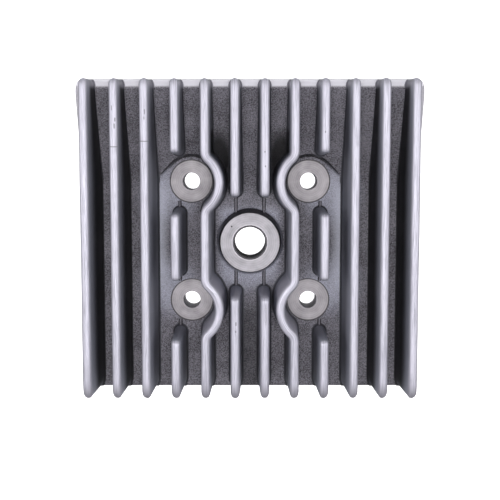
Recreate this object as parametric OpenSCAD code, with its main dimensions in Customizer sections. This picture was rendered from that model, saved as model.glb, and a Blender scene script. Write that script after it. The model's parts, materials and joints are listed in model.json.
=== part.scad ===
// Air-cooled cylinder head of a small two-stroke engine: one alloy casting with parallel cooling
// fins, four stud holes and a central plug boss, and a thread insert that lines the plug hole.
// Millimetres. +Z points from the gasket face to the fin tips, and the origin is on the cylinder
// axis in the gasket plane. The fins run along Y; the floor between them rises towards +Y.

/* [Fins] */
// Number of cooling fins, side by side
fin_count = 12; // [10:2:14]
// Distance from one fin's centre to the next
fin_pitch = 11.5; // [10.5:0.1:13.8]
// Height of the fin tips above the flat floor
fin_height = 29.5; // [22:0.5:36]
// Thickness of a fin at its tip
fin_tip = 3.0; // [2:0.1:4]
// Thickness of a fin at the flat floor
fin_root = 5.3; // [4.4:0.1:6]

/* [Plate] */
// Distance from the cylinder axis to the plate's front edge, at -Y
plate_front = 61; // [50:0.5:75]
// Distance from the cylinder axis to the plate's raised rear edge, at +Y
plate_rear = 65; // [56:0.5:80]
// Thickness of the plate that carries the fins
plate_thick = 6; // [4:0.1:7.5]
// Width of the plate's lip outside the outermost fins
side_lip = 2.9; // [1:0.1:6]
// Radius of the plate's corners in plan
corner_r = 3; // [1:0.5:8]
// Height of the flat floor above the gasket plane
floor_z = 13; // [11:0.1:16]
// Distance from the cylinder axis to the line where the floor starts to rise
knee_y = 25.7; // [20:0.1:32]
// Angle at which the floor rises behind the knee
slope_angle = 21.5; // [10:0.5:26]

/* [Studs] */
// Distance between stud holes across the fins
stud_dx = 48; // [44:0.5:54]
// Distance between stud holes along the fins
stud_dy = 49; // [44:0.5:56]
// Diameter of the stud holes
stud_hole_d = 7; // [6:0.1:9]
// Diameter of the machined nut seats
nut_seat_d = 17.8; // [13:0.1:18.4]
// Depth of the nut seats below the cast floor
nut_seat_depth = 0.4; // [0.2:0.1:1]
// Cast room round a nut seat before the floor starts to rise
nut_seat_rim = 2.1; // [1:0.1:4]
// Radius of the bend that the inner fins make round each stud, to their centre line
bend_r = 12.2; // [11.6:0.1:13]
// Half the break in a fin beside a stud
stud_break = 10.05; // [8:0.05:12]

/* [Plug] */
// Height of the plug seat above the gasket plane
plug_seat_z = 21; // [19:0.1:25]
// Diameter of the machined plug seat
plug_seat_d = 24.4; // [21:0.1:25]
// How far the plug boss widens towards its foot, on the radius
plug_boss_flare = 1.1; // [0.2:0.1:1.5]
// Length of the plug thread
plug_reach = 12.7; // [11.2:0.1:13.5]
// Minor diameter of the plug thread
plug_bore_d = 12.65; // [10:0.01:13]
// Outer diameter of the thread insert
insert_d = 15; // [14:0.1:17]
// Diameter of the countersink at the mouth of the thread
countersink_d = 14.4; // [13.2:0.1:14.8]
// Half the break in the two middle fins at the plug boss
plug_break = 17.5; // [16:0.1:22]

/* [Underside] */
// Radius of the machined gasket pad
pad_r = 43; // [41:0.5:46]
// Diameter of the recess that takes the top of the cylinder liner
register_d = 47; // [44:0.5:52]
// Depth of that recess
register_depth = 2; // [1:0.1:3]
// Diameter of the combustion chamber where it meets the recess
chamber_d = 35; // [30:0.5:40]

/* [Casting marks] */
// Width of the low ribs that join the ends of the broken fins to the bosses
rib_w = 0.8; // [0.6:0.1:2]
// Height of those ribs above the floor
rib_h = 1.2; // [0.6:0.1:2]

/* [Hidden] */
$fn = 64;
half_count = fin_count / 2;
plate_w = (fin_count - 1) * fin_pitch + fin_root + 2 * side_lip;
tip_z = floor_z + fin_height;
nut_seat_z = floor_z - nut_seat_depth;
stud_x = stud_dx / 2;
stud_y = stud_dy / 2;
// The three kinds of broken or bent fin, by distance from the middle plane
middle_x = 0.5 * fin_pitch;
bent_x = 1.5 * fin_pitch;
stud_fin_x = 2.5 * fin_pitch;
// The plate's rounded rear edge and the foot of the slope
edge_r = plate_thick / 2;
rim_y = plate_rear - edge_r * (1 + sin(slope_angle));
rim_z = floor_z + (rim_y - knee_y) * tan(slope_angle);
// Fins start inside the plate, this far below the floor
fin_sink = plate_thick / 2;
// Where a bent fin leaves its straight line, measured from the stud's centre
bend_dx = stud_x - bent_x;
bend_dy = sqrt(bend_r * bend_r - bend_dx * bend_dx);
bend_half_angle = acos(bend_dx / bend_r);
// Ends of a whole fin's foot: just inside the front edge, and down over the rounded rear edge
fin_front = -plate_front + 0.4;
fin_rear = plate_rear + 0.3;
// The chamber is part of a ball that meets the recess and the foot of the thread insert
roof_z = plug_seat_z - plug_reach;
insert_r = insert_d / 2;
chamber_r = chamber_d / 2;
ball_z = (insert_r * insert_r + roof_z * roof_z - chamber_r * chamber_r - register_depth * register_depth)
    / (2 * (roof_z - register_depth));
ball_r = sqrt(insert_r * insert_r + (roof_z - ball_z) * (roof_z - ball_z));
countersink_depth = (countersink_d - plug_bore_d) / 2;
pocket_r = nut_seat_d / 2 + nut_seat_rim;
cut = 1;

// Thickness of a fin at a height above the flat floor
function fin_thick(h) = fin_root + (fin_tip - fin_root) * h / fin_height;

// Extrudes an outline drawn in the Y-Z plane along X, centred on the middle plane
module along_x(width) {
    rotate([90, 0, 90])
        translate([0, 0, -width / 2])
            linear_extrude(width)
                children();
}

// Cross-section of a fin: X across it, Y up from the flat floor
module fin_section() {
    foot = fin_thick(-fin_sink) / 2;
    polygon([[-foot, -fin_sink], [foot, -fin_sink], [fin_tip / 2, fin_height], [-fin_tip / 2, fin_height]]);
}

// Right half of that section, to be turned about the fin's own axis
module half_fin_section() {
    foot = fin_thick(-fin_sink) / 2;
    polygon([[0, -fin_sink], [foot, -fin_sink], [fin_tip / 2, fin_height], [0, fin_height]]);
}

// Straight stretch of fin at x, from y0 to y1, with square ends
module fin_run(x, y0, y1) {
    translate([x, y1, floor_z])
        rotate([90, 0, 0])
            linear_extrude(y1 - y0)
                fin_section();
}

// Rounded end of a fin at (x, y), on the side that way points to along Y
module fin_end(x, y, way) {
    translate([x, y, floor_z])
        rotate(way > 0 ? 0 : 180)
            rotate_extrude(angle = 180)
                half_fin_section();
}

// Straight fin with both ends rounded; y0 and y1 are the ends of its foot
module fin(x, y0, y1) {
    start = y0 + fin_root / 2;
    end = y1 - fin_root / 2;
    fin_run(x, start, end);
    fin_end(x, start, -1);
    fin_end(x, end, 1);
}

// Fin at +X that swings round both studs of its side, towards the middle
module bent_fin() {
    front = fin_front + fin_root / 2;
    rear = fin_rear - fin_root / 2;
    fin_run(bent_x, front, -stud_y - bend_dy);
    fin_run(bent_x, -stud_y + bend_dy, stud_y - bend_dy);
    fin_run(bent_x, stud_y + bend_dy, rear);
    fin_end(bent_x, front, -1);
    fin_end(bent_x, rear, 1);
    for (y = [-stud_y, stud_y]) {
        translate([stud_x, y, floor_z])
            rotate(180 - bend_half_angle)
                rotate_extrude(angle = 2 * bend_half_angle)
                    translate([bend_r, 0])
                        fin_section();
        // Rounded outside of each corner, between the straight and the curved stretch
        for (way = [-1, 1])
            translate([bent_x, y + way * bend_dy, floor_z])
                rotate(way > 0 ? -bend_half_angle : 0)
                    rotate_extrude(angle = bend_half_angle)
                        half_fin_section();
    }
}

module fins() {
    for (side = [-1, 1]) {
        fin(side * middle_x, fin_front, -plug_break);
        fin(side * middle_x, plug_break, fin_rear);
        mirror([side < 0 ? 1 : 0, 0, 0])
            bent_fin();
        fin(side * stud_fin_x, fin_front, -stud_y - stud_break);
        fin(side * stud_fin_x, -stud_y + stud_break, stud_y - stud_break);
        fin(side * stud_fin_x, stud_y + stud_break, fin_rear);
        for (i = [3 : half_count - 1])
            fin(side * (i + 0.5) * fin_pitch, fin_front, fin_rear);
    }
}

// Everything above a surface that lies a little under the plate's top, to trim the fins' feet
module above_plate() {
    far = plate_rear + 10;
    top = tip_z + cut;
    foot = floor_z - fin_sink + cut / 2;
    along_x(plate_w + 2)
        polygon([
            [-plate_front - cut, foot], [knee_y, foot], [far, foot + (far - knee_y) * tan(slope_angle)],
            [far, top], [-plate_front - cut, top]
        ]);
}

// Side outline of the plate: flat, then rising to a rounded rear edge
module plate_outline() {
    s = sin(slope_angle);
    c = cos(slope_angle);
    under_knee = knee_y + plate_thick * tan(slope_angle / 2);
    polygon([
        [-plate_front, floor_z], [knee_y, floor_z], [rim_y, rim_z],
        [rim_y + plate_thick * s, rim_z - plate_thick * c], [under_knee, floor_z - plate_thick],
        [-plate_front, floor_z - plate_thick]
    ]);
    translate([rim_y + edge_r * s, rim_z - edge_r * c])
        circle(edge_r);
}

// Plan outline of the plate, with rounded corners
module plan_outline() {
    length = plate_front + plate_rear;
    translate([0, (plate_rear - plate_front) / 2]) {
        square([plate_w - 2 * corner_r, length], center = true);
        square([plate_w, length - 2 * corner_r], center = true);
        for (sx = [-1, 1], sy = [-1, 1])
            translate([sx * (plate_w / 2 - corner_r), sy * (length / 2 - corner_r)])
                circle(corner_r);
    }
}

module plate() {
    intersection() {
        along_x(plate_w + 2)
            plate_outline();
        linear_extrude(rim_z + plate_thick)
            plan_outline();
    }
}

// Thick round pad under the plate, which seals on the cylinder; its top is inside the plate
module gasket_pad() {
    flat = floor_z - plate_thick / 2;
    intersection() {
        cylinder(h = rim_z, r = pad_r);
        along_x(plate_w)
            polygon([
                [-plate_front, 0], [rim_y, 0], [rim_y, rim_z - plate_thick / 2],
                [knee_y, flat], [-plate_front, flat]
            ]);
    }
}

// Level land cut into the slope round a rear stud, with a straight wall running out to the knee
module stud_land(side) {
    diag = pocket_r * cos(45);
    wall_y = stud_y + diag;
    wall_x = stud_x + diag;
    out_x = wall_x + (wall_y - knee_y);
    translate([0, 0, floor_z])
        linear_extrude(rim_z)
            union() {
                translate([side * stud_x, stud_y])
                    circle(pocket_r);
                polygon([
                    [side * stud_x, knee_y - cut], [side * (out_x + cut), knee_y - cut],
                    [side * wall_x, wall_y], [side * stud_x, stud_y]
                ]);
            }
}

module plug_boss() {
    foot_r = plug_seat_d / 2 + plug_boss_flare;
    translate([0, 0, floor_z - cut])
        cylinder(h = cut, r = foot_r);
    translate([0, 0, floor_z])
        cylinder(h = plug_seat_z - floor_z, r1 = foot_r, r2 = plug_seat_d / 2);
}

// Low ribs in line with the broken fins, from their ends to the bosses
module casting_ribs() {
    for (side = [-1, 1], way = [-1, 1]) {
        translate([side * middle_x - rib_w / 2, way > 0 ? 0 : -plug_break - cut, floor_z - cut])
            cube([rib_w, plug_break + cut, rib_h + cut]);
        translate([side * stud_fin_x - rib_w / 2, way * stud_y - stud_break - cut, floor_z - cut])
            cube([rib_w, 2 * (stud_break + cut), rib_h + cut]);
    }
}

module stud_cuts() {
    for (sx = [-1, 1], sy = [-1, 1])
        translate([sx * stud_x, sy * stud_y, 0]) {
            translate([0, 0, -cut])
                cylinder(h = floor_z + 2 * cut, d = stud_hole_d);
            translate([0, 0, nut_seat_z])
                cylinder(h = fin_height, d = nut_seat_d);
        }
}

// Recess for the liner, the ball-shaped chamber, and the hole for the thread insert
module chamber_cuts() {
    translate([0, 0, -cut])
        cylinder(h = register_depth + cut, d = register_d);
    intersection() {
        translate([0, 0, ball_z])
            sphere(ball_r);
        translate([0, 0, register_depth - cut / 2])
            cylinder(h = roof_z, r = chamber_r + cut);
    }
    translate([0, 0, roof_z - cut])
        cylinder(h = plug_reach + 2 * cut, d = insert_d);
}

module head_casting() {
    color([0.72, 0.72, 0.75])
        difference() {
            union() {
                difference() {
                    union() {
                        plate();
                        gasket_pad();
                    }
                    stud_land(-1);
                    stud_land(1);
                }
                intersection() {
                    fins();
                    above_plate();
                }
                plug_boss();
                casting_ribs();
            }
            stud_cuts();
            chamber_cuts();
        }
}

module plug_thread_insert() {
    color([0.58, 0.57, 0.56])
        difference() {
            translate([0, 0, roof_z])
                cylinder(h = plug_reach, d = insert_d);
            translate([0, 0, roof_z - cut])
                cylinder(h = plug_reach + 2 * cut, d = plug_bore_d);
            translate([0, 0, plug_seat_z - countersink_depth])
                cylinder(h = countersink_depth, d1 = plug_bore_d, d2 = countersink_d);
        }
}

head_casting();
plug_thread_insert();
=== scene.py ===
"""Looks of an air-cooled cylinder head: one finned alloy casting with machined seats and a thread insert.
Metres, in the CAD frame: +Z from the gasket face to the fin tips, the fins along Y, and the origin on the
cylinder's axis.
"""

import json
import math

import bmesh
import bpy
import numpy as np
from mathutils import Matrix, Vector


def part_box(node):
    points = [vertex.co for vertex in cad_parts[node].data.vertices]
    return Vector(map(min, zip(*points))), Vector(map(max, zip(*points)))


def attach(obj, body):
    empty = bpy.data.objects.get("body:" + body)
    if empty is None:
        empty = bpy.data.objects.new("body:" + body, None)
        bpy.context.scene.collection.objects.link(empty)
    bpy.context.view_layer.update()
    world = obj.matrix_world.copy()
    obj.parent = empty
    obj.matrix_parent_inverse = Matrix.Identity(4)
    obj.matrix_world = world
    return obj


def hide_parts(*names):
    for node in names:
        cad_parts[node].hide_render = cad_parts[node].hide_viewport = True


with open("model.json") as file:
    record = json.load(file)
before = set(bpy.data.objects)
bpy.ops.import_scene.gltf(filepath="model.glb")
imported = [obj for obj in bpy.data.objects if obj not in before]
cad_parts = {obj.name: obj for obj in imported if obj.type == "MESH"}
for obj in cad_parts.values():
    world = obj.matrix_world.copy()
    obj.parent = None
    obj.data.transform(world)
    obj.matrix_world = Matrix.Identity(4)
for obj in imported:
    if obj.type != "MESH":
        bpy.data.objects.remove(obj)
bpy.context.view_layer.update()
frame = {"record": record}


# ---- Plate: the casting's body ----
# The plate that carries the fins is sand-rough cast alloy, flat in front and rising behind the knee to a
# rounded rear edge. The gasket pad under it and the plug boss on it are part of the same casting, and the
# studs' seats, the liner recess and the plug hole are machined into it.
MM = 0.001
low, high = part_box("head_casting")
plate_x = high.x
front_y, rear_y = low.y, high.y
tip_z = high.z
mounts = {m["name"]: m for m in frame["record"]["mounts"]}
plug_seat_z = mounts["plug_seat"]["pos_m"][2]
nut_seat_z = mounts["nut_seat_rear_right"]["pos_m"][2]
stud_dims = mounts["stud_holes"]["dims"]
stud_x = stud_dims["spacing_x_mm"] * MM / 2
stud_y = stud_dims["spacing_y_mm"] * MM / 2
stud_hole_r = stud_dims["hole_r_mm"] * MM
register_r = mounts["liner_recess"]["dims"]["r_mm"] * MM
register_depth = mounts["liner_recess"]["dims"]["length_mm"] * MM

floor_z = nut_seat_z + 0.4 * MM
plate_thick = 6 * MM
knee_y = 25.7 * MM
knee_blend = 2.2 * MM
slope = math.radians(21.5)
rim_r = plate_thick / 2
rim_power = 3.4
rim_y = rear_y - rim_r * (1 + math.sin(slope))
rim_z = floor_z + (rim_y - knee_y) * math.tan(slope)
round_y = rim_y + rim_r * math.sin(slope)
round_z = rim_z - rim_r * math.cos(slope)
pad_r, boss_r = 43 * MM, 12.2 * MM
front_edge_r = 1.4 * MM
side_edge_r = 1.2 * MM
plan_corner_r = 3 * MM


def slope_rise(y, blend):
    """Height gained behind the knee: nothing in front, the slope's tangent behind, and a parabola
    between."""
    t = np.clip(y - knee_y, -blend, blend)
    return math.tan(slope) * ((t + blend) ** 2 / (4 * blend) + np.maximum(y - knee_y - blend, 0))


def floor_height(y):
    """Height of the cast floor at y, and past the rim line that of the rear edge's superellipse."""
    over = np.maximum(rim_r**rim_power - np.abs(y - round_y) ** rim_power, 0) ** (1 / rim_power)
    return np.where(y < rim_y, floor_z + slope_rise(y, knee_blend), round_z + over)


def mesh_piece(name, points, faces, material, sharp_deg=35, values=None):
    """A closed mesh object from points and faces: doubles merged, faces turned outwards, smooth but for
    sharp edges. Values are numbers that each point carries for its material, by name."""
    mesh = bpy.data.meshes.new(name)
    mesh.from_pydata(points.tolist(), [], faces)
    for key, numbers in (values or {}).items():
        attribute = mesh.attributes.new(key, "FLOAT", "POINT")
        attribute.data.foreach_set("value", np.ravel(numbers).astype(np.float32))
    work = bmesh.new()
    work.from_mesh(mesh)
    bmesh.ops.remove_doubles(work, verts=work.verts, dist=0.002 * MM)
    bmesh.ops.recalc_face_normals(work, faces=work.faces)
    work.to_mesh(mesh)
    work.free()
    mesh.materials.append(material)
    mesh.polygons.foreach_set("use_smooth", np.ones(len(mesh.polygons), bool))
    mesh.set_sharp_from_angle(angle=math.radians(sharp_deg))
    piece = bpy.data.objects.new(name, mesh)
    bpy.context.scene.collection.objects.link(piece)
    return piece


def ring_quads(count, around):
    """Faces between neighbouring rings of points: each point with the next one round its own ring and the
    same two of the next ring."""
    i, j = np.meshgrid(np.arange(count - 1), np.arange(around), indexing="ij")
    after = (j + 1) % around
    quads = np.stack([i * around + j, i * around + after, (i + 1) * around + after, (i + 1) * around + j], -1)
    return quads.reshape(-1, 4).tolist()


def rings_piece(name, rings, material, sharp_deg=35, values=None):
    """A solid from rings of points, rings[i, j]: ring i joins ring i + 1, each ring closes on itself, and
    the first and last rings are filled. A ring whose points are all the same is a pole."""
    count, around = rings.shape[:2]
    faces = ring_quads(count, around)
    for ring, start in ((rings[0], 0), (rings[-1], (count - 1) * around)):
        if np.ptp(ring, axis=0).max() > 0.01 * MM:
            faces.append(list(range(start, start + around)))
    return mesh_piece(name, rings.reshape(-1, 3), faces, material, sharp_deg, values)


def arc(cy, cz, r, start_deg, end_deg, count):
    """Points of an arc about (cy, cz), as two columns; cy, cz and r may be columns with one row per
    station."""
    t = np.radians(np.linspace(start_deg, end_deg, count))
    return cy + r * np.cos(t), cz + r * np.sin(t)


def turned(name, profile, material, centre=(0, 0), around=96, sharp_deg=35):
    """A turned solid: the profile's (radius, height) points swept round a vertical axis at centre."""
    r, z = np.array(profile).T
    t = np.linspace(0, 2 * math.pi, around, endpoint=False)
    ring = np.stack([
        centre[0] + np.outer(r, np.cos(t)),
        centre[1] + np.outer(r, np.sin(t)),
        np.outer(z, np.ones(around)),
    ], -1)
    return rings_piece(name, ring, material, sharp_deg)


def new_material(name, metal, rough):
    """A material with only its principled shader, and that shader."""
    material = bpy.data.materials.new(name)
    material.use_nodes = True
    shader = material.node_tree.nodes["Principled BSDF"]
    shader.inputs["Metallic"].default_value = metal
    shader.inputs["Roughness"].default_value = rough
    return material, shader


def node(material, kind, *inputs, **settings):
    """Adds a node; inputs fill its sockets in order, as links from other sockets or as values, and None
    skips one."""
    made = material.node_tree.nodes.new(kind)
    for key, value in settings.items():
        setattr(made, key, value)
    for socket, value in zip(made.inputs, inputs):
        if isinstance(value, bpy.types.NodeSocket):
            material.node_tree.links.new(value, socket)
        elif value is not None:
            socket.default_value = value
    return made


def join(material, source, target):
    """Links an output to an input."""
    material.node_tree.links.new(source, target)


def place(material):
    """The point's place in the frame, in millimetres, and its three coordinates."""
    coords = node(material, "ShaderNodeTexCoord").outputs["Object"]
    scaled = node(material, "ShaderNodeVectorMath", coords, (1 / MM,) * 3, operation="MULTIPLY").outputs[0]
    split = node(material, "ShaderNodeSeparateXYZ", scaled)
    return scaled, split.outputs[0], split.outputs[1], split.outputs[2]


def maths(material, operation, *inputs):
    """One sum, product or function of numbers."""
    return node(material, "ShaderNodeMath", *inputs, operation=operation).outputs[0]


def step(material, value, start, end):
    """0 below start, 1 above end and a smooth rise between; start may be above end for a fall."""
    made = node(material, "ShaderNodeMapRange", value, start, end, 0.0, 1.0, interpolation_type="SMOOTHSTEP")
    return made.outputs[0]


def times(material, *factors):
    """The product of two or more factors."""
    product = factors[0]
    for factor in factors[1:]:
        product = maths(material, "MULTIPLY", product, factor)
    return product


def away_from(material, value, centre):
    """How far a value is from a centre, on either side."""
    return maths(material, "ABSOLUTE", maths(material, "SUBTRACT", value, centre))


def less(material, factor, share):
    """1 where the factor is 0, falling to 1 - share where it is 1."""
    return maths(material, "MULTIPLY_ADD", factor, -share, 1.0)


def facing(material):
    """The direction that the surface faces, as its parts along X, Y and Z."""
    geometry = node(material, "ShaderNodeNewGeometry")
    return node(material, "ShaderNodeSeparateXYZ", geometry.outputs["Normal"]).outputs


def noise(material, vector, scale, detail=3.0, rough=0.55):
    """Even grains, as many to the millimetre as the scale says."""
    made = node(material, "ShaderNodeTexNoise")
    join(material, vector, made.inputs["Vector"])
    made.inputs["Scale"].default_value = scale
    made.inputs["Detail"].default_value = detail
    made.inputs["Roughness"].default_value = rough
    return made.outputs[0]


def distance(material, u, v):
    """Length of (u, v)."""
    squares = maths(material, "ADD", maths(material, "MULTIPLY", u, u), maths(material, "MULTIPLY", v, v))
    return maths(material, "SQRT", squares)


def mix(material, factor, a, b):
    """Mixes two colours, each a socket or an (r, g, b) triple."""
    made = node(material, "ShaderNodeMix", data_type="RGBA")
    for socket, value in ((made.inputs[0], factor), (made.inputs[6], a), (made.inputs[7], b)):
        if isinstance(value, bpy.types.NodeSocket):
            join(material, value, socket)
        else:
            socket.default_value = (*value, 1) if isinstance(value, tuple) else value
    return made.outputs[2]


def bump(material, height, strength, depth):
    """A normal tilted by a height field of the given depth."""
    made = node(material, "ShaderNodeBump")
    made.inputs["Strength"].default_value = strength
    made.inputs["Distance"].default_value = depth
    join(material, height, made.inputs["Height"])
    return made.outputs[0]


# Colours of the cast skin's dark and light grains, the same darker as painted shade on walls, the clean
# level land that also carries a painted sheen and its painted glints and highlight, edges that wear keeps
# bright, and painted shade in corners and at feet
CAST_DARK, CAST_LIGHT = (0.065, 0.061, 0.072), (0.342, 0.329, 0.378)
WALL_DARK, WALL_LIGHT = (0.014, 0.013, 0.016), (0.081, 0.078, 0.088)
LAND_CLEAN_AND_SHEEN, LAND_PAINTED_GLINT = (0.468, 0.473, 0.567), (0.855, 0.873, 1.0)
RIM_BRIGHT = (0.95, 0.935, 1.0)
PAINTED_FOOT_SHADE = (0.03, 0.029, 0.033)
floor_mm = floor_z / MM


def darker(colour, share):
    """A colour with only a share of its light."""
    return tuple(part * share for part in colour)


def clean_land_and_sheen(material, x, y):
    """Where the level land is clean and also carries a painted sheen: outside each stud, and round the sides
    and front of the plug boss.
    """
    out_x = maths(material, "SUBTRACT", maths(material, "ABSOLUTE", x), stud_x / MM + 10)
    out_y = maths(material, "SUBTRACT", maths(material, "ABSOLUTE", y), stud_y / MM - 6)
    near_studs = step(material, distance(material, out_x, out_y), 16.0, 5.0)
    near_boss = step(material, distance(material, maths(material, "ADD", x, 3.0), y), 25.0, 15.0)
    beside_boss = step(material, maths(material, "ABSOLUTE", x), 15.0, 10.0)
    behind_boss = step(material, y, 11.0, 16.0)
    near_boss = times(material, near_boss, beside_boss, less(material, behind_boss, 0.85))
    return maths(material, "MAXIMUM", near_studs, near_boss)


def painted_light_strip(material, x, y):
    """Where a painted highlight lies on the land: a strip along the inner side of the third fin from each
    side.
    """
    out = maths(material, "ABSOLUTE", x)
    beside_fin = times(material, step(material, out, 32.0, 37.5), step(material, out, 40.5, 40.0))
    return times(material, beside_fin, step(material, away_from(material, y, 2.0), 30.0, 12.0))


def boss_foot(material, x, y, z):
    """Where the plug boss's wall spreads into its foot, at the sides and in front, which gets painted light
    in the clean land's tone.
    """
    radius = distance(material, x, y)
    on_flare = times(material, step(material, radius, 12.4, 12.9), step(material, radius, 14.5, 14.0))
    above_floor = step(material, z, floor_mm + 0.3, floor_mm + 0.9)
    return times(material, on_flare, step(material, y, 9.0, 3.0), above_floor)


def shaded_floor(material, x, y, z):
    """Where the floor lies in deep shade: behind each rear stud's bend, and a little between the two middle
    fins."""
    spot_x, spot_y = 12.6, 34.0
    shade_x = maths(material, "SUBTRACT", maths(material, "ABSOLUTE", x), spot_x)
    shade_y = times(material, maths(material, "SUBTRACT", y, spot_y), 0.5)
    behind_bend = times(material, step(material, distance(material, shade_x, shade_y), 7.0, 3.0), 0.97)
    between_fins = times(material, step(material, maths(material, "ABSOLUTE", x), 5.5, 3.0),
                         step(material, y, -23.0, -33.0), 0.5)
    on_top = step(material, z, floor_mm - 0.5, floor_mm)
    return times(material, maths(material, "MAXIMUM", behind_bend, between_fins), on_top)


def worn_edges(material, x, y, z, fine):
    """Where wear keeps the casting bright: along the rear edge, less on the side lips, and mostly where it
    faces up."""
    rim_line = maths(material, "ADD", y, times(material, fine, 0.5))
    rim = step(material, rim_line, rim_y / MM + 0.7, rim_y / MM + 1.9)
    lip = step(material, maths(material, "ABSOLUTE", x), plate_x / MM - 2.6, plate_x / MM - 1.6)
    lip = times(material, lip, step(material, z, floor_mm - 2, floor_mm + 3), 0.45)
    up = facing(material)[2]
    facing_up = maths(material, "MULTIPLY_ADD", step(material, up, 0.0, 0.75), 0.7, 0.3)
    return times(material, maths(material, "MAXIMUM", rim, lip), facing_up, step(material, up, -0.6, 0.0))


def cast_skin(name="cast skin", dark=CAST_DARK, light=CAST_LIGHT):
    """Rough cast alloy: grains about half a millimetre across with dirt between them, clean land that also
    carries a painted sheen with painted glints, a painted highlight strip, painted light on the boss's foot,
    dark zones of painted shade, and worn bright along the rear edge."""
    material, shader = new_material(name, 0.2, 0.5)
    at, x, y, z = place(material)
    grain = noise(material, at, 2.1, 3.0, 0.65)
    fine = noise(material, at, 3.6, 2.0)
    broad = noise(material, at, 0.09, 3.0)
    speck = step(material, grain, 0.3, 0.7)
    speck = maths(material, "ADD", speck, maths(material, "MULTIPLY_ADD", broad, 0.9, -0.45))
    colour = mix(material, speck, dark, light)
    level = step(material, away_from(material, z, floor_mm), 0.8, 0.2)
    patchy = maths(material, "MULTIPLY_ADD", speck, 0.45, 0.5)
    # The clean land mask also lays a painted sheen, with painted glints where the fine grain peaks.
    clean = times(material, clean_land_and_sheen(material, x, y), patchy, level)
    colour = mix(material, clean, colour, LAND_CLEAN_AND_SHEEN)
    colour = mix(material, times(material, painted_light_strip(material, x, y), level, 0.6), colour, LAND_PAINTED_GLINT)
    colour = mix(material, times(material, clean, step(material, fine, 0.56, 0.68)), colour, LAND_PAINTED_GLINT)
    # Painted light: the boss's foot at its sides and front takes the land's lighter tone.
    colour = mix(material, times(material, boss_foot(material, x, y, z), 0.75), colour, LAND_CLEAN_AND_SHEEN)
    colour = mix(material, shaded_floor(material, x, y, z), colour, darker(PAINTED_FOOT_SHADE, 0.6))
    worn = worn_edges(material, x, y, z, fine)
    join(material, mix(material, worn, colour, RIM_BRIGHT), shader.inputs["Base Color"])
    rough = node(material, "ShaderNodeMapRange", worn, 0.0, 1.0, 0.55, 0.36).outputs[0]
    join(material, rough, shader.inputs["Roughness"])
    join(material, maths(material, "MULTIPLY_ADD", worn, -0.2, 0.2), shader.inputs["Metallic"])
    height = maths(material, "ADD", grain, times(material, fine, 0.35))
    height = times(material, height, less(material, worn, 0.85))
    join(material, bump(material, height, 1.0, 0.26 * MM), shader.inputs["Normal"])
    return material


PORE_BLACK = (0.03, 0.03, 0.03)


def machined_face(name, colour, dark, edge_at, ring_pitch, depth, centre_x=0.0, centre_y=0.0, pore=None):
    """A faced surface: fine rings about its axis, or about each stud's when a centre is given, and painted
    shade darkening its rim. A pore is one small dark pit, as its place and radius."""
    material, shader = new_material(name, 0.25, 0.5)
    at, x, y, z = place(material)
    if centre_x:
        x = maths(material, "SUBTRACT", maths(material, "ABSOLUTE", x), centre_x / MM)
        y = maths(material, "SUBTRACT", maths(material, "ABSOLUTE", y), centre_y / MM)
    radius = distance(material, x, y)
    turns = maths(material, "ADD", radius, times(material, noise(material, at, 0.35, 2.0), 0.25))
    ring = maths(material, "SINE", times(material, turns, 2 * math.pi / ring_pitch))
    coarse = maths(material, "SINE", times(material, turns, 2 * math.pi / (ring_pitch * 3.7)))
    marks = maths(material, "MULTIPLY_ADD", ring, 0.5, times(material, coarse, 0.35))
    patches = maths(material, "MULTIPLY_ADD", noise(material, at, 0.22, 3.0), 1.2, -0.6)
    shade = maths(material, "ADD", maths(material, "MULTIPLY_ADD", marks, depth, 0.5), patches)
    tone = mix(material, shade, dark, colour)
    if pore:
        pore_x, pore_y, pore_r = pore
        off_x, off_y = maths(material, "SUBTRACT", x, pore_x), maths(material, "SUBTRACT", y, pore_y)
        away = distance(material, off_x, off_y)
        tone = mix(material, step(material, away, pore_r, pore_r * 0.5), tone, PORE_BLACK)
    # Painted shade: a dark ring along the face's rim.
    off_rim = step(material, away_from(material, radius, edge_at), 0.25, 0.6)
    tone = mix(material, off_rim, darker(dark, 0.3), tone)
    join(material, tone, shader.inputs["Base Color"])
    join(material, bump(material, marks, 0.5, 0.04 * MM), shader.inputs["Normal"])
    return material


def bored_wall():
    """Drilled and bored walls: dull, with fine tool marks running round them, one above the other."""
    material, shader = new_material("bored wall", 0.3, 0.5)
    at, x, y, z = place(material)
    mark_pitch, dull, pale = 0.4, (0.34, 0.33, 0.35), (0.62, 0.61, 0.64)
    marks = maths(material, "SINE", times(material, z, 2 * math.pi / mark_pitch))
    join(material, mix(material, noise(material, at, 0.5, 3.0), dull, pale), shader.inputs["Base Color"])
    join(material, bump(material, marks, 0.3, 0.03 * MM), shader.inputs["Normal"])
    return material


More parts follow.
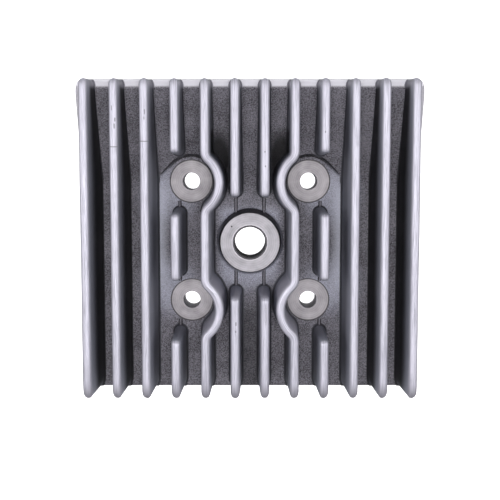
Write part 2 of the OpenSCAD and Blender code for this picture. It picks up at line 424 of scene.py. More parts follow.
def plate_rings():
    """The plate's side outline, drawn at stations across X: along the front face, the floor, the slope,
    round the rear edge and back below. Towards each side the outline shrinks along its normals by a quarter
    circle, which rounds the side edges, and its front and rear ends draw in by another, which rounds the
    corners in plan."""
    quarter = np.linspace(0, math.pi / 2, 9)
    depth = np.concatenate([side_edge_r * (1 - np.cos(quarter)), plan_corner_r * (1 - np.cos(quarter))])
    depth = np.unique(np.round(depth, 8))
    inset = side_edge_r - np.sqrt(side_edge_r**2 - np.maximum(side_edge_r - depth, 0) ** 2)
    draw = plan_corner_r - np.sqrt(plan_corner_r**2 - np.maximum(plan_corner_r - depth, 0) ** 2)
    x = np.concatenate([-plate_x + depth, (plate_x - depth)[::-1]])
    inset = np.concatenate([inset, inset[::-1]])[:, None]
    draw = np.concatenate([draw, draw[::-1]])[:, None]
    tan, deg = math.tan(slope), math.degrees(slope)
    bottom_z = floor_z - plate_thick
    front = front_y + draw + front_edge_r
    parts = [
        arc(front, bottom_z + front_edge_r, front_edge_r - inset, 270, 180, 7),
        arc(front, floor_z - front_edge_r, front_edge_r - inset, 180, 90, 9),
    ]
    for y, blend, side in ((knee_y, knee_blend, 1), (knee_y + plate_thick * math.tan(slope / 2), 4 * MM, -1)):
        t = np.linspace(-1, 1, 13)[::side]
        fall = np.arctan(tan * (t + 1) / 2)
        line_y = y + blend * t + side * inset * np.sin(fall)
        rise = tan * blend * (t + 1) ** 2 / 4
        base = floor_z if side > 0 else bottom_z
        parts.append((line_y, base + rise - side * inset * np.cos(fall)))
    t = np.radians(np.linspace(90 + deg, deg - 90, 33))
    square = (np.abs(np.cos(t)) ** rim_power + np.abs(np.sin(t)) ** rim_power) ** (-1 / rim_power)
    r = (rim_r - inset) * np.where(t > 0, square, 1)
    rear = (round_y - draw + r * np.cos(t), round_z - draw * tan + r * np.sin(t))
    parts.insert(3, rear)
    y = np.concatenate([p[0] for p in parts], axis=1)
    z = np.concatenate([p[1] for p in parts], axis=1)
    return np.stack([np.repeat(x[:, None], y.shape[1], 1), y, z], -1)


skin = cast_skin()
casting = rings_piece("casting_body", plate_rings(), skin)


def pad_rings():
    """The gasket pad: a chamfered disc whose wall rises into the plate and ends halfway through its
    thickness."""
    chamfer = 0.6 * MM
    t = np.linspace(0, 2 * math.pi, 144, endpoint=False)
    radii = np.array([0, pad_r - chamfer, pad_r, pad_r, pad_r * 0.75, pad_r * 0.5, pad_r * 0.25, 0])
    ring = np.outer(radii, np.cos(t)), np.outer(radii, np.sin(t))
    z = floor_height(ring[1]) - plate_thick / 2
    z[0], z[1], z[2] = 0, 0, chamfer
    return np.stack([ring[0], ring[1], z], -1)


def boss_profile():
    """Plug boss: a cone with a rounded foot and a small round at the top, from below the floor to its
    seat."""
    foot_r, foot_round, top_round = 13.0 * MM, 1.6 * MM, 0.35 * MM
    foot_z, root_z = floor_z - 0.03 * MM, floor_z - 2 * MM
    foot = [(foot_r + foot_round * (1 - math.cos(a)), foot_z + foot_round * (1 - math.sin(a)))
            for a in np.linspace(math.pi / 2, 0, 8)]
    top = [(boss_r - top_round * (1 - math.cos(a)), plug_seat_z - top_round * (1 - math.sin(a)))
           for a in np.linspace(0, math.pi / 2, 5)]
    return [(0, root_z), (foot_r + foot_round, root_z)] + foot + top + [(0, plug_seat_z)]


def land_rings(side):
    """Cutter for the level land round a rear stud: a circle about the stud and, towards the outside, a
    straight wall at 45 degrees that runs out to the knee. The wall's foot is rounded: the outline shrinks
    there along its normals."""
    pocket_r, foot_r, top = 11.2 * MM, 1.8 * MM, 24 * MM
    t = np.radians(np.linspace(45, 180, 28))
    arc_x, arc_y = pocket_r * np.cos(t), pocket_r * np.sin(t)
    front = knee_y - 3 * MM - stud_y
    out_x = arc_x[0] + arc_y[0] - front
    line = np.linspace(0, 1, 12)[:, None]
    wall = np.array([out_x, front]) * (1 - line) + np.array([arc_x[0], arc_y[0]]) * line
    outline = np.concatenate([[[-pocket_r, front]], wall[:-1], np.stack([arc_x, arc_y], 1)])
    along = np.roll(outline, -1, 0) - np.roll(outline, 1, 0)
    normal = np.stack([along[:, 1], -along[:, 0]], 1) / np.linalg.norm(along, axis=1)[:, None]
    normal[0] = (-1, 0)
    normal[1] = (math.cos(math.radians(45)), math.sin(math.radians(45)))
    a = np.linspace(0, math.pi / 2, 6)
    shrink = np.append(foot_r * (1 - np.sin(a)), 0)
    lift = np.append(foot_r * (1 - np.cos(a)), top)
    plan = outline - normal * shrink[:, None, None]
    plan[..., 1] = np.maximum(plan[..., 1], front)
    z = np.repeat(lift[:, None], len(outline), 1) + floor_z + 0.015 * MM
    return np.stack([side * (stud_x + plan[..., 0]), stud_y + plan[..., 1], z], -1)


nut_seat_r, seat_groove = 8.9 * MM, 0.12 * MM
chamfer = 0.15 * MM
seat_cut = [(0, nut_seat_z), (stud_hole_r, nut_seat_z), (nut_seat_r - 0.35 * MM, nut_seat_z),
            (nut_seat_r - 0.2 * MM, nut_seat_z - seat_groove), (nut_seat_r, nut_seat_z - seat_groove),
            (nut_seat_r, tip_z + MM), (0, tip_z + MM)]
bore_cut = [(0, -MM), (stud_hole_r + chamfer + MM, -MM), (stud_hole_r, chamfer),
            (stud_hole_r, nut_seat_z - chamfer), (stud_hole_r + chamfer, nut_seat_z),
            (stud_hole_r + chamfer + MM, nut_seat_z + MM), (0, nut_seat_z + MM)]
insert_low, insert_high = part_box("plug_thread_insert")
insert_r, insert_z = insert_high.x, insert_low.z
chamber_r = 17.5 * MM
ball_z = (insert_r**2 + insert_z**2 - chamber_r**2 - register_depth**2) / (2 * (insert_z - register_depth))
ball_r = math.hypot(insert_r, insert_z - ball_z)
ball_from = math.atan2(register_depth - ball_z, chamber_r)
ball_to = math.atan2(insert_z - ball_z, insert_r)
dome = [(ball_r * math.cos(a), ball_z + ball_r * math.sin(a)) for a in np.linspace(ball_from, ball_to, 20)]
register_chamfer = 0.4 * MM
chamber_cut = ([(0, -MM), (register_r + register_chamfer + MM, -MM), (register_r, register_chamfer),
                (register_r, register_depth)]
               + dome + [(insert_r, plug_seat_z + MM), (0, plug_seat_z + MM)])


def combine(piece, tool, operation):
    """Joins or cuts the piece with a closed tool solid; cut faces keep the tool's material, and the tool is
    removed."""
    for material in tool.data.materials:
        if material.name not in piece.data.materials:
            piece.data.materials.append(material)
    boolean = piece.modifiers.new("combine", "BOOLEAN")
    boolean.object, boolean.operation = tool, operation
    boolean.solver, boolean.material_mode = "EXACT", "TRANSFER"
    shaped = bpy.data.meshes.new_from_object(piece.evaluated_get(bpy.context.evaluated_depsgraph_get()))
    piece.modifiers.clear()
    piece.data = shaped
    bpy.data.objects.remove(tool)


# Pale and dark tones of the three kinds of faced surface
NUT_SEAT = ((0.526, 0.495, 0.522), (0.216, 0.203, 0.216))
PLUG_SEAT = ((0.594, 0.572, 0.612), (0.297, 0.288, 0.310))
GASKET_FACE = ((0.648, 0.648, 0.666), (0.360, 0.360, 0.378))
nut_face = machined_face("nut seat face", *NUT_SEAT, nut_seat_r / MM, 0.8, 0.16, stud_x, stud_y)
plug_face = machined_face("plug seat face", *PLUG_SEAT, boss_r / MM + 0.1, 0.9, 0.17, pore=(-7.4, 6.5, 0.45))
gasket_face = machined_face("gasket face", *GASKET_FACE, pad_r / MM + 0.1, 0.45, 0.08)
bore = bored_wall()

pad = rings_piece("pad", pad_rings(), gasket_face)
combine(casting, pad, "UNION")
combine(casting, turned("boss", boss_profile(), skin), "UNION")
# The walls of the land pockets and of the boss take a darker copy of the cast skin: painted shade.
wall_skin = cast_skin("shadowed wall", WALL_DARK, WALL_LIGHT)
for side in (-1, 1):
    land = rings_piece("land", land_rings(side), skin)
    land.data.materials.append(wall_skin)
    for face in land.data.polygons:
        face.material_index = int(abs(face.normal.z) < 0.9)
    combine(casting, land, "DIFFERENCE")
for sx in (-1, 1):
    for sy in (-1, 1):
        centre = (sx * stud_x, sy * stud_y)
        combine(casting, turned("seat", seat_cut, nut_face, centre, 96), "DIFFERENCE")
        combine(casting, turned("bore", bore_cut, bore, centre, 64), "DIFFERENCE")
combine(casting, turned("chamber", chamber_cut, bore, around=128), "DIFFERENCE")


def paint_faces(piece):
    """Gives the machined zones their materials by the height and radius of each face's middle."""
    mesh = piece.data
    count = len(mesh.polygons)
    middle, normal, index = np.zeros(count * 3), np.zeros(count * 3), np.zeros(count, int)
    mesh.polygons.foreach_get("center", middle)
    mesh.polygons.foreach_get("normal", normal)
    mesh.polygons.foreach_get("material_index", index)
    middle, normal = middle.reshape(-1, 3), normal.reshape(-1, 3)
    names = [m.name for m in mesh.materials]
    radius, height = np.hypot(middle[:, 0], middle[:, 1]), middle[:, 2]
    seat_edge_z = plug_seat_z - 0.4 * MM
    index[(height > seat_edge_z) & (radius < boss_r + 0.8 * MM)] = names.index(plug_face.name)
    # The boss's wall takes the darker copy of the skin, as painted shade.
    on_wall = (height > floor_z + 0.3 * MM) & (height < seat_edge_z) & (radius < boss_r + 2.1 * MM)
    index[on_wall & (index == names.index(skin.name))] = names.index(wall_skin.name)
    upright = np.abs(normal[:, 2]) < 0.5
    pad_wall = (index == names.index(gasket_face.name)) & (height > 0.1 * MM) & upright
    index[pad_wall] = names.index(skin.name)
    mesh.polygons.foreach_set("material_index", index)


if plug_face.name not in casting.data.materials:
    casting.data.materials.append(plug_face)
paint_faces(casting)
casting.data.polygons.foreach_set("use_smooth", np.ones(len(casting.data.polygons), bool))
casting.data.set_sharp_from_angle(angle=math.radians(30))
even = casting.modifiers.new("even shading", "WEIGHTED_NORMAL")
even.keep_sharp = True
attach(casting, "root")
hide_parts("head_casting")


# ---- Cooling fins ----
# Twelve thin walls cast in one with the plate, drafted so that they draw from the mould, and rounded where
# they meet the floor, along their tips and at their ends. Tumbling has worn the tips bright; the flanks
# stay blue-grey.
fin_count, fin_pitch = 12, 11.5 * MM
half_tip, half_root = 1.7 * MM, 2.5 * MM
tip_edge_r, tip_crown = 1.55 * MM, 0.05 * MM
root_round = 0.9 * MM
# Length and fall of the quarter ellipse that a tip ends in, seen from the side
front_corner, rear_corner, inner_corner = (8.0 * MM, 2.6 * MM), (3.6 * MM, 2.0 * MM), (2.0 * MM, 3.0 * MM)
fin_front, fin_rear = front_y, rear_y + 0.35 * MM
bend_r, turn_r = 12.2 * MM, 4.4 * MM
stud_break, plug_break = 10.05 * MM, 17.5 * MM
# How much longer than a half circle the outer ends are in plan, and how far the inner ends stand back
front_nose, rear_nose = 1.75, 1.3
plug_end_back, stud_end_back = 0.8 * MM, 0.4 * MM

# Flank colours: blue and grey cast skin, and a near black that is painted shade deep on the flanks and also
# marks the nicks
FLANK_BLUE, FLANK_GREY, FLANK_DEEP = (0.414, 0.427, 0.504), (0.324, 0.329, 0.378), (0.032, 0.032, 0.038)
WORN_BRIGHT = (0.747, 0.733, 0.837)
# Tip tones: a dull worn tone, painted shade for the tips' side edges, and painted shade for their front ends
TIP_DULL, TIP_EDGE_SHADE, TIP_FRONT_SHADE = (0.522, 0.513, 0.594), (0.360, 0.351, 0.405), (0.324, 0.315, 0.360)
# Nicks in the tips: place across and along the fins, and half the width and length of each, in millimetres
NICKS = [
    (-51.8, 38.4, 1.6, 0.14), (-40.3, 40.5, 1.7, 0.14), (-51.3, 46.2, 0.2, 0.9), (-51.0, 48.6, 0.2, 0.7),
    (-52.2, 53.0, 0.14, 0.9), (-39.8, 51.6, 0.16, 0.9), (-40.0, 49.2, 0.14, 0.5), (-5.4, -29.6, 0.22, 0.7),
    (-5.5, -32.6, 0.2, 0.35), (6.2, -26.0, 0.14, 4.0), (28.6, 44.0, 0.2, 0.35), (5.9, 31.0, 0.22, 0.3),
    (5.7, 36.5, 0.2, 0.3),
]


def flank_shade(material, x, y, share, along):
    """How deep in shade a flank is: more towards its foot, on the outer fins and beside the rear bends, and
    less on ends that face along the fins, on the two outside faces and round the front bends."""
    spot_x, spot_y = 13.5, 34.0
    out = maths(material, "ABSOLUTE", x)
    far_out = maths(material, "MULTIPLY_ADD", step(material, out, 37.0, 50.0), 0.55, 0.45)
    beside_x = maths(material, "SUBTRACT", out, spot_x)
    beside_y = times(material, maths(material, "SUBTRACT", y, spot_y), 0.4)
    beside_bend = step(material, distance(material, beside_x, beside_y), 6.0, 4.0)
    zone = maths(material, "MAXIMUM", far_out, beside_bend)
    zone = times(material, zone, less(material, maths(material, "ABSOLUTE", along), 0.8))
    deep = times(material, step(material, share, 0.85, 0.4), zone)
    outside = less(material, step(material, out, 62.5, 64.0), 0.85)
    return times(material, deep, outside, less(material, front_bend(material, x, y), 0.9))


def front_bend(material, x, y):
    """Where the bends round the front studs are."""
    return times(material, step(material, maths(material, "ABSOLUTE", x), 26.0, 24.0),
                 step(material, away_from(material, y, -stud_y / MM), 16.0, 9.0))


def nicked(material, x, y):
    """Where the tips are nicked."""
    found = 0.0
    for nick_x, nick_y, half_x, half_y in NICKS:
        across = step(material, away_from(material, x, nick_x), half_x * 1.4, half_x * 0.6)
        along = step(material, away_from(material, y, nick_y), half_y * 1.4, half_y * 0.6)
        found = maths(material, "MAXIMUM", found, times(material, across, along))
    return found


def fin_skin():
    """Fin skin: bright worn tips with fine lines along them and a few nicks, with painted shade at their side
    edges and front ends, and flanks with a bluish cast surface that is painted darker as shade towards the
    foot and lighter as painted light round the front bends. Each point of a fin carries its distance across
    the fin and its share of the flank's height."""
    material, shader = new_material("fin skin", 0.25, 0.45)
    at, x, y, z = place(material)
    across = node(material, "ShaderNodeAttribute", attribute_name="across").outputs["Fac"]
    share = node(material, "ShaderNodeAttribute", attribute_name="share").outputs["Fac"]
    drawn_out = node(material, "ShaderNodeCombineXYZ", times(material, across, 2.6), times(material, y, 0.09),
                     times(material, x, 0.08))
    streak = noise(material, drawn_out.outputs[0], 1.0, 3.0)
    grain = noise(material, at, 1.4, 3.0)
    broad = noise(material, at, 0.12, 2.0)
    along = facing(material)[1]

    flank = mix(material, streak, FLANK_GREY, FLANK_BLUE)
    flank = mix(material, flank_shade(material, x, y, share, along), flank, FLANK_DEEP)
    # Painted light on the flanks round the front bends, where they face along the fins.
    lit = times(material, front_bend(material, x, y), step(material, along, 0.1, 0.5))
    flank = mix(material, times(material, lit, step(material, share, -0.1, 0.6)), flank, TIP_DULL)
    # Painted shade: a dark line along each fin's foot.
    flank = mix(material, times(material, step(material, share, 0.1, 0.0), 0.75), flank, PAINTED_FOOT_SHADE)

    front = front_y / MM
    bright = mix(material, step(material, streak, 0.36, 0.58), TIP_DULL, WORN_BRIGHT)
    bright = mix(material, step(material, broad, 0.45, 0.9), bright, WORN_BRIGHT)
    # Painted shade on the tips' rounded side edges.
    painted_edge_shade = step(material, maths(material, "ABSOLUTE", across), 0.9, 1.55)
    bright = mix(material, times(material, painted_edge_shade, 0.8), bright, TIP_EDGE_SHADE)
    # Painted shade over the last 9 mm of the tips towards the front.
    bright = mix(material, step(material, y, front + 9, front + 1), bright, TIP_FRONT_SHADE)
    nicks = nicked(material, x, y)
    bright = mix(material, times(material, nicks, 0.6), bright, FLANK_DEEP)

    wear_line = maths(material, "ADD", z, maths(material, "MULTIPLY_ADD", streak, 0.6, -0.3))
    wear_line = maths(material, "ADD", wear_line, times(material, step(material, y, front + 9, front), 2.0))
    tip = step(material, wear_line, tip_z / MM - 1.9, tip_z / MM - 0.7)
    rear_end = step(material, y, rim_y / MM - 0.5, rim_y / MM + 1.5)
    tip = maths(material, "MAXIMUM", tip, times(material, rear_end, 0.6))
    join(material, mix(material, tip, flank, bright), shader.inputs["Base Color"])
    rough = node(material, "ShaderNodeMapRange", tip, 0.0, 1.0, 0.62, 0.4).outputs[0]
    join(material, rough, shader.inputs["Roughness"])
    relief = maths(material, "MULTIPLY_ADD", nicks, -2.0, maths(material, "ADD", grain, streak))
    join(material, bump(material, relief, 0.5, 0.14 * MM), shader.inputs["Normal"])
    return material


def fin_loop(line_x, line_y):
    """A fin's plan as a loop: for each point of it the centre-line point that it belongs to, the unit
    direction away from it, and that direction's share across the fin. Both sides follow the line's normals
    and each end turns through half a circle."""
    line = np.stack([line_x, line_y], 1)
    along = np.gradient(line, axis=0)
    along /= np.linalg.norm(along, axis=1)[:, None]
    right = np.stack([along[:, 1], -along[:, 0]], 1)
    t = np.linspace(0, math.pi, 15)[1:-1, None]
    rear_cap = np.cos(t) * right[-1] + np.sin(t) * along[-1]
    front_cap = -np.cos(t) * right[0] - np.sin(t) * along[0]
    base = np.concatenate([line, np.repeat(line[-1:], len(t), 0), line[::-1], np.repeat(line[:1], len(t), 0)])
    away = np.concatenate([right, rear_cap, -right[::-1], front_cap])
    across = np.concatenate([np.ones(len(line)), np.cos(t[:, 0]), -np.ones(len(line)), -np.cos(t[:, 0])])
    return base, away, across


def half_width(z):
    """Half the fin's thickness at height z: it narrows evenly from the flat floor to the tip."""
    return half_root + (half_tip - half_root) * (z - floor_z) / (tip_z - floor_z)


def fin_rings(line_x, line_y, front_corner, rear_corner, nose):
    """Rings of a fin, from its centre line inside the plate, out to the foot, up the root's fillet, the
    drafted flank and the rounded tip, and back to the centre line. A point's height is the local floor's
    plus a share of the fin's local height, and the tip falls away near each end by a quarter ellipse, seen
    from the side. The values are each point's distance across the fin and its share of the flank's height."""
    base, away, sideways = fin_loop(line_x, line_y)
    start, end = line_y.min() - half_tip * nose[0], line_y.max() + half_tip * nose[1]
    behind, ahead = base[:, 1] <= line_y.min(), base[:, 1] >= line_y.max()
    stretch = away[:, 1] * (np.where(behind, nose[0] - 1, 0) + np.where(ahead, nose[1] - 1, 0))
    long_wave = 0.03 * MM * np.sin(base[:, 1] / (9.7 * MM) + line_x[0] * 900)
    ripple = long_wave + 0.02 * MM * np.sin(base[:, 1] / (3.1 * MM))
    top_gap = 0.08 * MM

    def top_at(y):
        drop = np.zeros_like(y)
        for (run, fall), d in ((front_corner, y - start), (rear_corner, end - y)):
            drop = drop + fall * (1 - np.sqrt(1 - (1 - np.clip(d / run, 0, 1)) ** 2))
        return tip_z - top_gap - drop

    across, share = [], []

    def ring(width, z_of, up=0.0):
        """The loop at a half width, with its height worked out from the place that gives; up is its share
        of the flank's height."""
        across.append(sideways * np.reshape(width, -1) / MM)
        share.append(np.full(len(base), up))
        plan = base + away * np.reshape(width, (-1, 1))
        plan[:, 1] += stretch * np.reshape(width, -1)
        plan[:, 1] = np.clip(plan[:, 1], front_y + 0.06 * MM, rear_y - 0.25 * MM)
        return np.column_stack([plan, z_of(plan[:, 1])])

    foot = half_width(floor_height(np.clip(base[:, 1], front_y, rear_y - 0.3 * MM)))
    sunk, deep = 0.03 * MM, 1.8 * MM
    rings = [ring(width, lambda y: floor_height(y) - deep) for width in (foot * 0, foot + root_round)]
    for a in np.linspace(0, math.pi / 2, 7):
        out, up = root_round * (1 - math.sin(a)), root_round * (1 - math.cos(a)) - sunk
        rings.append(ring(foot + out, lambda y: floor_height(y) + up))
    for s in np.linspace(0, 1, 12)[1:]:
        def flank_z(y, s=s):
            bottom = floor_height(y) + root_round - sunk
            return bottom + s * (top_at(y) - tip_edge_r - bottom)
        guess = flank_z(base[:, 1] + away[:, 1] * half_tip)
        rings.append(ring(half_width(guess) + ripple * s, flank_z, s))
    edge_w = half_tip + ripple
    for a in np.linspace(0, math.pi / 2, 7)[1:]:
        inward, down = tip_edge_r * (1 - math.cos(a)), tip_edge_r * (1 - math.sin(a))
        below_top = down + tip_crown * (1 - down / tip_edge_r)
        rings.append(ring(edge_w - inward, lambda y: top_at(y) - below_top, 1.0))
    for s in (0.66, 0.33, 0.0):
        rings.append(ring((edge_w - tip_edge_r) * s, lambda y: top_at(y) - tip_crown * s * s, 1.0))
    return np.array(rings), {"across": np.array(across), "share": np.array(share)}


def straight_line(x, y0, y1):
    """Centre line of a straight fin whose foot runs from y0 to y1, with a point about every 1.4 mm."""
    first = half_root * (front_nose if y0 == fin_front else 1)
    last = half_root * (rear_nose if y1 == fin_rear else 1)
    y = np.linspace(y0 + first, y1 - last, max(4, int((y1 - y0) / (1.4 * MM))))
    return np.full_like(y, x), y


def bent_line(x, side):
    """Centre line of a fin that swings round both studs of its side: straights joined by tangent arcs."""
    dx = stud_x - x + turn_r
    angle = math.acos(dx / (bend_r + turn_r))
    dy = math.sqrt((bend_r + turn_r) ** 2 - dx**2)
    xs, ys = [], []

    def straight(y0, y1):
        y = np.linspace(y0, y1, max(3, int((y1 - y0) / (1.4 * MM))))
        xs.append(np.full_like(y, x))
        ys.append(y)

    def curve(cx, cy, r, a0, a1):
        t = np.linspace(a0, a1, max(6, int(abs(a1 - a0) * r / (0.7 * MM))))[1:-1]
        xs.append(cx + r * np.cos(t))
        ys.append(cy + r * np.sin(t))

    straight(fin_front + half_root * front_nose, -stud_y - dy)
    for y in (-stud_y, stud_y):
        curve(x - turn_r, y - dy, turn_r, 0, angle)
        curve(stud_x, y, bend_r, math.pi + angle, math.pi - angle)
        curve(x - turn_r, y + dy, turn_r, -angle, 0)
        if y < 0:
            straight(-stud_y + dy, stud_y - dy)
    straight(stud_y + dy, fin_rear - half_root * rear_nose)
    return side * np.concatenate(xs), np.concatenate(ys)


fins_material = fin_skin()
# Each fin's name, its centre line, and whether its front and its rear end are outer ones
lines = []
for side, place_name in ((-1, "left"), (1, "right")):
    middle, beside = side * 0.5 * fin_pitch, side * 2.5 * fin_pitch
    plug_gap, stud_gap = plug_break + plug_end_back, stud_break + stud_end_back
    stud_front, stud_rear = -stud_y + stud_gap, stud_y - stud_gap
    lines += [
        (f"fin_middle_{place_name}_front", straight_line(middle, fin_front, -plug_gap), 1, 0),
        (f"fin_middle_{place_name}_rear", straight_line(middle, plug_gap, fin_rear), 0, 1),
        (f"fin_bent_{place_name}", bent_line(1.5 * fin_pitch, side), 1, 1),
        (f"fin_stud_{place_name}_front", straight_line(beside, fin_front, -stud_y - stud_gap), 1, 0),
        (f"fin_stud_{place_name}_centre", straight_line(beside, stud_front, stud_rear), 0, 0),
        (f"fin_stud_{place_name}_rear", straight_line(beside, stud_y + stud_gap, fin_rear), 0, 1),
    ]
    for i in range(3, fin_count // 2):
        line = straight_line(side * (i + 0.5) * fin_pitch, fin_front, fin_rear)
        lines.append((f"fin_{place_name}_{i + 1}", line, 1, 1))
for name, (line_x, line_y), outer_front, outer_rear in lines:
    corners = front_corner if outer_front else inner_corner, rear_corner if outer_rear else inner_corner
    noses = (front_nose if outer_front else 1, rear_nose if outer_rear else 1)
    rings, values = fin_rings(line_x, line_y, *corners, noses)
    fin = rings_piece(name, rings, fins_material, 50, values)
    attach(fin, "root")


# ---- Plug thread insert ----
# A turned steel bush in the plug boss, with the plug's thread cut in it and a countersink at its mouth. It
# is pressed into the boss, flush with the machined seat.
thread_pitch, thread_depth = 1.25 * MM, 0.66 * MM
crest_r = mounts["plug_thread"]["dims"]["r_mm"] * MM - 0.12 * MM
countersink_r = 7.0 * MM


def insert_rings():
    """The bush's inner wall is a V thread: its radius is the crest's plus a depth that is a triangle wave
    of height / pitch - angle / turn, with flat crests, and it ends in the countersink above."""
    around = 96
    t = np.linspace(0, 2 * math.pi, around, endpoint=False)
    top, bottom = insert_high.z, insert_low.z
    z = np.linspace(bottom, top, 150)
    phase = (z[:, None] / thread_pitch - t / (2 * math.pi)) % 1
    wave = np.clip(1 - np.abs(phase * 2 - 1) * 1.25, 0, 1)
    inner = crest_r + thread_depth * wave
    sink = countersink_r - (top - z)[:, None]
    inner = np.minimum(np.maximum(inner, sink), insert_r - 0.25 * MM)
    r = np.concatenate([inner, np.full((2, around), insert_r), inner[:1]])
    height = np.concatenate([z, [top, bottom, bottom]])
    return np.stack([r * np.cos(t), r * np.sin(t), np.repeat(height[:, None], around, 1)], -1)


def insert_steel():
    """Turned steel: faced flush with the plug seat and as pale, with a thin joint line round it, darker
    with fine turning lines in the countersink, and dark in the thread."""
    thread_dark, thread_pale = (0.06, 0.058, 0.062), (0.20, 0.195, 0.20)
    sink_dark, sink_pale = (0.07, 0.068, 0.072), (0.42, 0.41, 0.43)
    face_dark, face_pale, joint_grey = (0.38, 0.365, 0.39), (0.54, 0.52, 0.56), (0.2, 0.19, 0.2)
    turning_pitch, seat_mm, outer_mm = 0.5, plug_seat_z / MM, insert_r / MM
    material, shader = new_material("insert steel", 0.35, 0.45)
    at, x, y, z = place(material)
    grain = noise(material, at, 1.3, 3.0)
    radius = distance(material, x, y)
    turning = maths(material, "SINE", times(material, radius, 2 * math.pi / turning_pitch))
    thread = mix(material, grain, thread_dark, thread_pale)
    sink = mix(material, maths(material, "MULTIPLY_ADD", turning, 0.5, 0.5), sink_dark, sink_pale)
    joint = step(material, radius, outer_mm - 0.2, outer_mm - 0.05)
    face = mix(material, times(material, joint, 0.35), mix(material, grain, face_dark, face_pale), joint_grey)
    colour = mix(material, step(material, z, seat_mm - 3.4, seat_mm - 1.6), thread, sink)
    colour = mix(material, step(material, z, seat_mm - 0.12, seat_mm - 0.02), colour, face)
    join(material, colour, shader.inputs["Base Color"])
    join(material, bump(material, grain, 0.2, 0.05 * MM), shader.inputs["Normal"])
    return material


def tube_piece(name, rings, material, sharp_deg):
    """Like rings_piece, for rings that close on themselves lengthwise too, so that nothing is filled."""
    faces = ring_quads(*rings.shape[:2])
    return mesh_piece(name, rings.reshape(-1, 3), faces, material, sharp_deg)


insert = tube_piece("thread_insert", insert_rings(), insert_steel(), 40)
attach(insert, "root")
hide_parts("plug_thread_insert")


# ---- Casting ribs ----
# Thin low ribs left by the mould on the floor, in line with the broken fins, from their ends to the bosses.
# They are part of the casting and carry its skin, with painted shade along both sides of the crest.
rib_half, rib_h = 0.50 * MM, 1.1 * MM


def rib_skin(line_x):
    """Cast skin along the rib's crest, and painted shade in the corners on both sides of it."""
    material, shader = new_material(f"rib skin {line_x:.0f}", 0.2, 0.5)
    at, x, y, z = place(material)
    off = away_from(material, maths(material, "ABSOLUTE", x), line_x)
    grain = noise(material, at, 1.9, 3.0)
    crest = mix(material, grain, CAST_DARK, CAST_LIGHT)
    side = step(material, off, rib_half / MM * 0.5, rib_half / MM * 0.9)
    # Painted shade on both sides of the crest.
    join(material, mix(material, side, crest, darker(PAINTED_FOOT_SHADE, 0.4)), shader.inputs["Base Color"])
    join(material, bump(material, grain, 0.5, 0.1 * MM), shader.inputs["Normal"])
    return material


def rib_rings(x, y0, y1):
    """A low rib along Y: its section is a half round on a short wall, and its ends sit inside the fin and
    the boss."""
    t = np.linspace(0, math.pi, 9)
    foot_across = rib_half * np.array([1.9, 1.3])
    foot_up = np.array([-0.4 * MM, 0.1 * MM])
    across = np.concatenate([foot_across, rib_half * np.cos(t), -foot_across[::-1]])
    up = np.concatenate([foot_up, rib_h - rib_half + rib_half * np.sin(t), foot_up[::-1]])
    y = np.linspace(y0, y1, 8)[:, None] * np.ones(len(across))
    return np.stack([x + across + 0 * y, y, floor_z + slope_rise(y, knee_blend) + up], -1)


rib_skins = rib_skin(0.5 * fin_pitch / MM), rib_skin(2.5 * fin_pitch / MM)
# Where each rib lies across the fins and its two ends, which reach into the fin and into the boss or seat
rib_runs = []
in_boss, in_seat, into_fin = 11.5 * MM, 8 * MM, 2 * MM
for side in (-1, 1):
    middle, beside = side * 0.5 * fin_pitch, side * 2.5 * fin_pitch
    for way in (-1, 1):
        rib_runs.append((middle, way * in_boss, way * (plug_break + into_fin)))
        rib_runs.append((beside, way * (stud_y - in_seat), way * (stud_y - stud_break - into_fin)))
    rib_runs.append((beside, -stud_y - in_seat, -stud_y - stud_break - into_fin))
for number, (x, y0, y1) in enumerate(rib_runs, 1):
    rib_material = rib_skins[abs(x) > fin_pitch]
    rib = rings_piece(f"casting_rib_{number}", rib_rings(x, min(y0, y1), max(y0, y1)), rib_material, 60)
    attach(rib, "root")


# ---- Studio ----
# A pale floor that glows a little, so that it stays clean and white, under one large soft lamp overhead and
# one at each side, in a dim white tent.
def studio_floor():
    """A flat floor far wider than the view, just below the gasket face, that leaves no mark in
    reflections."""
    half = 30.0
    mesh = bpy.data.meshes.new("studio floor")
    corners = [(-half, -half, 0), (half, -half, 0), (half, half, 0), (-half, half, 0)]
    mesh.from_pydata(corners, [], [(0, 1, 2, 3)])
    mesh.transform(Matrix.Translation((0, 0, -0.3 * MM)))
    material, shader = new_material("studio floor", 0.0, 0.9)
    shader.inputs["Base Color"].default_value = (0.9, 0.9, 0.9, 1)
    shader.inputs["Emission Color"].default_value = (1, 1, 1, 1)
    shader.inputs["Emission Strength"].default_value = 0.95
    mesh.materials.append(material)
    made = bpy.data.objects.new("studio_floor", mesh)
    made.visible_glossy = False
    bpy.context.scene.collection.objects.link(made)


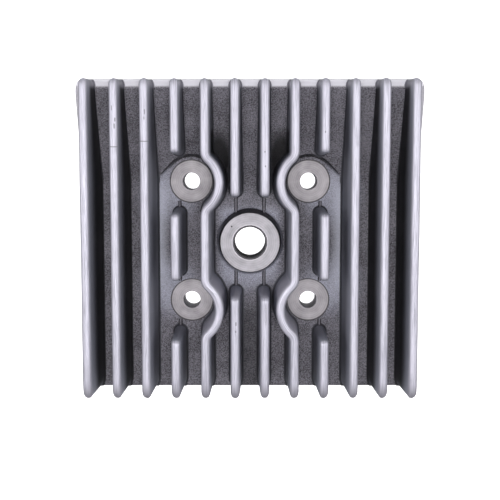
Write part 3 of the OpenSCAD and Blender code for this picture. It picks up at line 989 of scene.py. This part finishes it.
def soft_light(name, spot, size, power):
    """A rectangular lamp aimed at the origin."""
    lamp = bpy.data.lights.new(name, "AREA")
    lamp.shape, lamp.size, lamp.size_y = "RECTANGLE", size[0], size[1]
    lamp.energy, lamp.color = power, (1.0, 0.99, 1.0)
    made = bpy.data.objects.new(name, lamp)
    made.location = spot
    made.rotation_euler = (-Vector(spot)).to_track_quat("-Z", "Y").to_euler()
    bpy.context.scene.collection.objects.link(made)


SKY_LOW, SKY_HIGH = 0.035, 0.155


def studio_sky():
    """A white tent: bright overhead and darker towards and below the horizon, by the height of the
    direction."""
    world = bpy.data.worlds.new("studio")
    world.use_nodes = True
    tree = world.node_tree
    background = tree.nodes["Background"]
    coords = tree.nodes.new("ShaderNodeTexCoord")
    split = tree.nodes.new("ShaderNodeSeparateXYZ")
    ramp = tree.nodes.new("ShaderNodeMapRange")
    ramp.inputs["From Min"].default_value, ramp.inputs["From Max"].default_value = -0.3, 1.0
    ramp.inputs["To Min"].default_value, ramp.inputs["To Max"].default_value = SKY_LOW, SKY_HIGH
    tree.links.new(coords.outputs["Generated"], split.inputs[0])
    tree.links.new(split.outputs[2], ramp.inputs["Value"])
    tree.links.new(ramp.outputs[0], background.inputs["Strength"])
    background.inputs["Color"].default_value = (0.95, 0.96, 1.0, 1)
    bpy.context.scene.world = world


studio_floor()
studio_sky()
soft_light("overhead", (0, -0.02, 0.95), (0.34, 0.34), 4.7)
for way in (-1, 1):
    soft_light(f"side_{way}", (way * 0.75, 0.1, 0.55), (0.4, 0.9), 2.7)
bpy.context.scene.view_settings.view_transform = "Standard"

# The camera looks down on the fins from about 0.4 m, from a little behind the middle
camera = bpy.data.objects.new("camera", bpy.data.cameras.new("camera"))
camera.data.sensor_width, camera.data.lens = 36, 70.64
camera.data.clip_start, camera.data.clip_end = 0.01, 100
camera.location = (0.00033, 0.03682, 0.41579)
camera.rotation_euler = (-0.1006, 0.0008, -0.0002)
bpy.context.scene.collection.objects.link(camera)
bpy.context.scene.camera = camera
